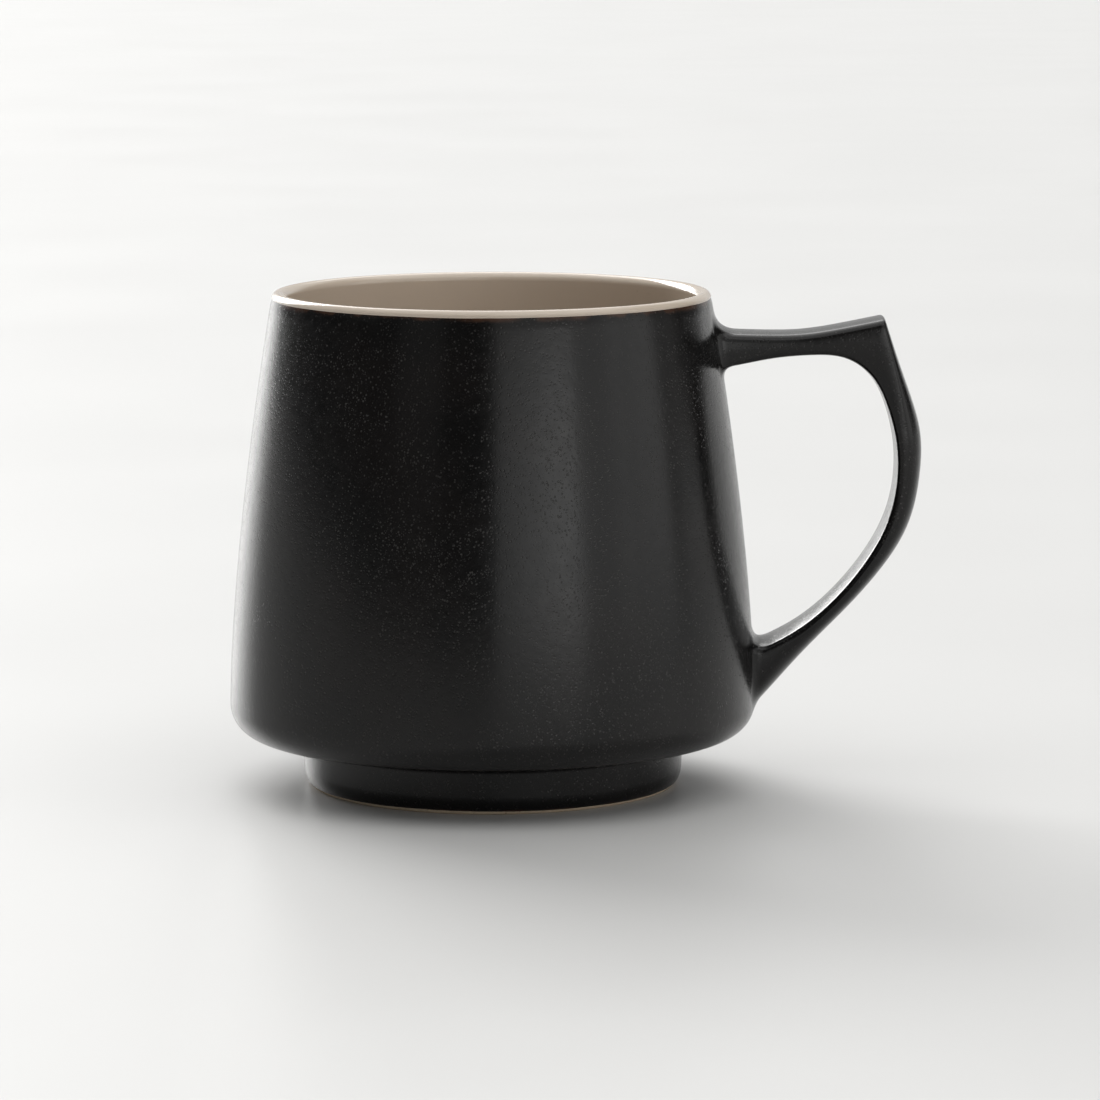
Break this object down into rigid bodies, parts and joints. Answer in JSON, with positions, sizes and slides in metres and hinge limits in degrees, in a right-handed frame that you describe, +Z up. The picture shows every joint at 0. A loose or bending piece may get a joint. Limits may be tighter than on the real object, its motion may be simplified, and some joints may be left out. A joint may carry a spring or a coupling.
{
  "type": "ceramic mug",
  "caption": "Barrel-bellied stoneware mug on a turned foot ring, black glaze outside, pale glaze inside, slim strap handle with a raised thorn at its top corner.",
  "frame": {"origin": "on the surface the mug stands on, under the middle of the whole mug's box, handle included", "axes": "+Z up along the cup's axis, +X towards the handle; the cup's own axis is at X = -14.325 mm"},
  "size_m": [0.1196, 0.091, 0.0857],
  "materials": {
    "black_glaze": "satin black stoneware glaze with a fine pitted surface, breaking brown on thin edges",
    "liner_glaze": "smooth glossy greige liner glaze",
    "bare_clay": "bare fired buff stoneware, matt"
  },
  "bodies": {
    "root": {"cup_body": "bare_clay", "foot_ring": "bare_clay", "liner_glaze": "liner_glaze", "body_glaze": "black_glaze", "recess_glaze": "black_glaze", "handle": "bare_clay", "handle_glaze": "black_glaze", "handle_joint_upper": "black_glaze", "handle_joint_lower": "black_glaze"}
  },
  "joints": []
}
